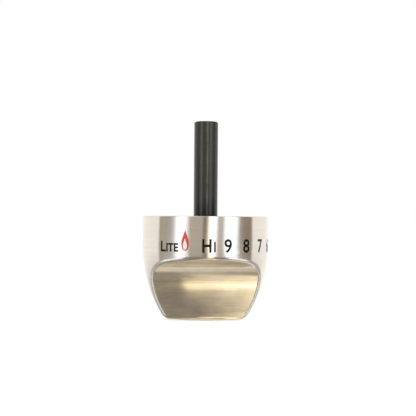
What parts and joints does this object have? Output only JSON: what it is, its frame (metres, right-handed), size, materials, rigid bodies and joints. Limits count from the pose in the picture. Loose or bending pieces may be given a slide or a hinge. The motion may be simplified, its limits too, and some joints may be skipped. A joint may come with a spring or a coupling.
{
  "type": "stove knob",
  "caption": "Burner control knob: brushed metal bowl with two finger scoops and a grip between them, and a long black stem with a D-shaped socket for the valve shaft.",
  "frame": {"origin": "lowest point of the domed front face, on the axis of the stem", "axes": "+Z along the stem towards its free end; X along the grip; the finger scoops face -Y and +Y; the flat of the shaft socket is on its +Y side"},
  "size_m": [0.05, 0.05, 0.0785],
  "materials": {
    "brushed_metal": "satin, brushed round the skirt and along the grip",
    "stem_black": "semi-gloss black",
    "spring_steel": "bright rolled strip"
  },
  "bodies": {
    "root": {"knob_shell": "brushed_metal", "stem": "stem_black", "shaft_clip": "spring_steel"}
  },
  "joints": []
}
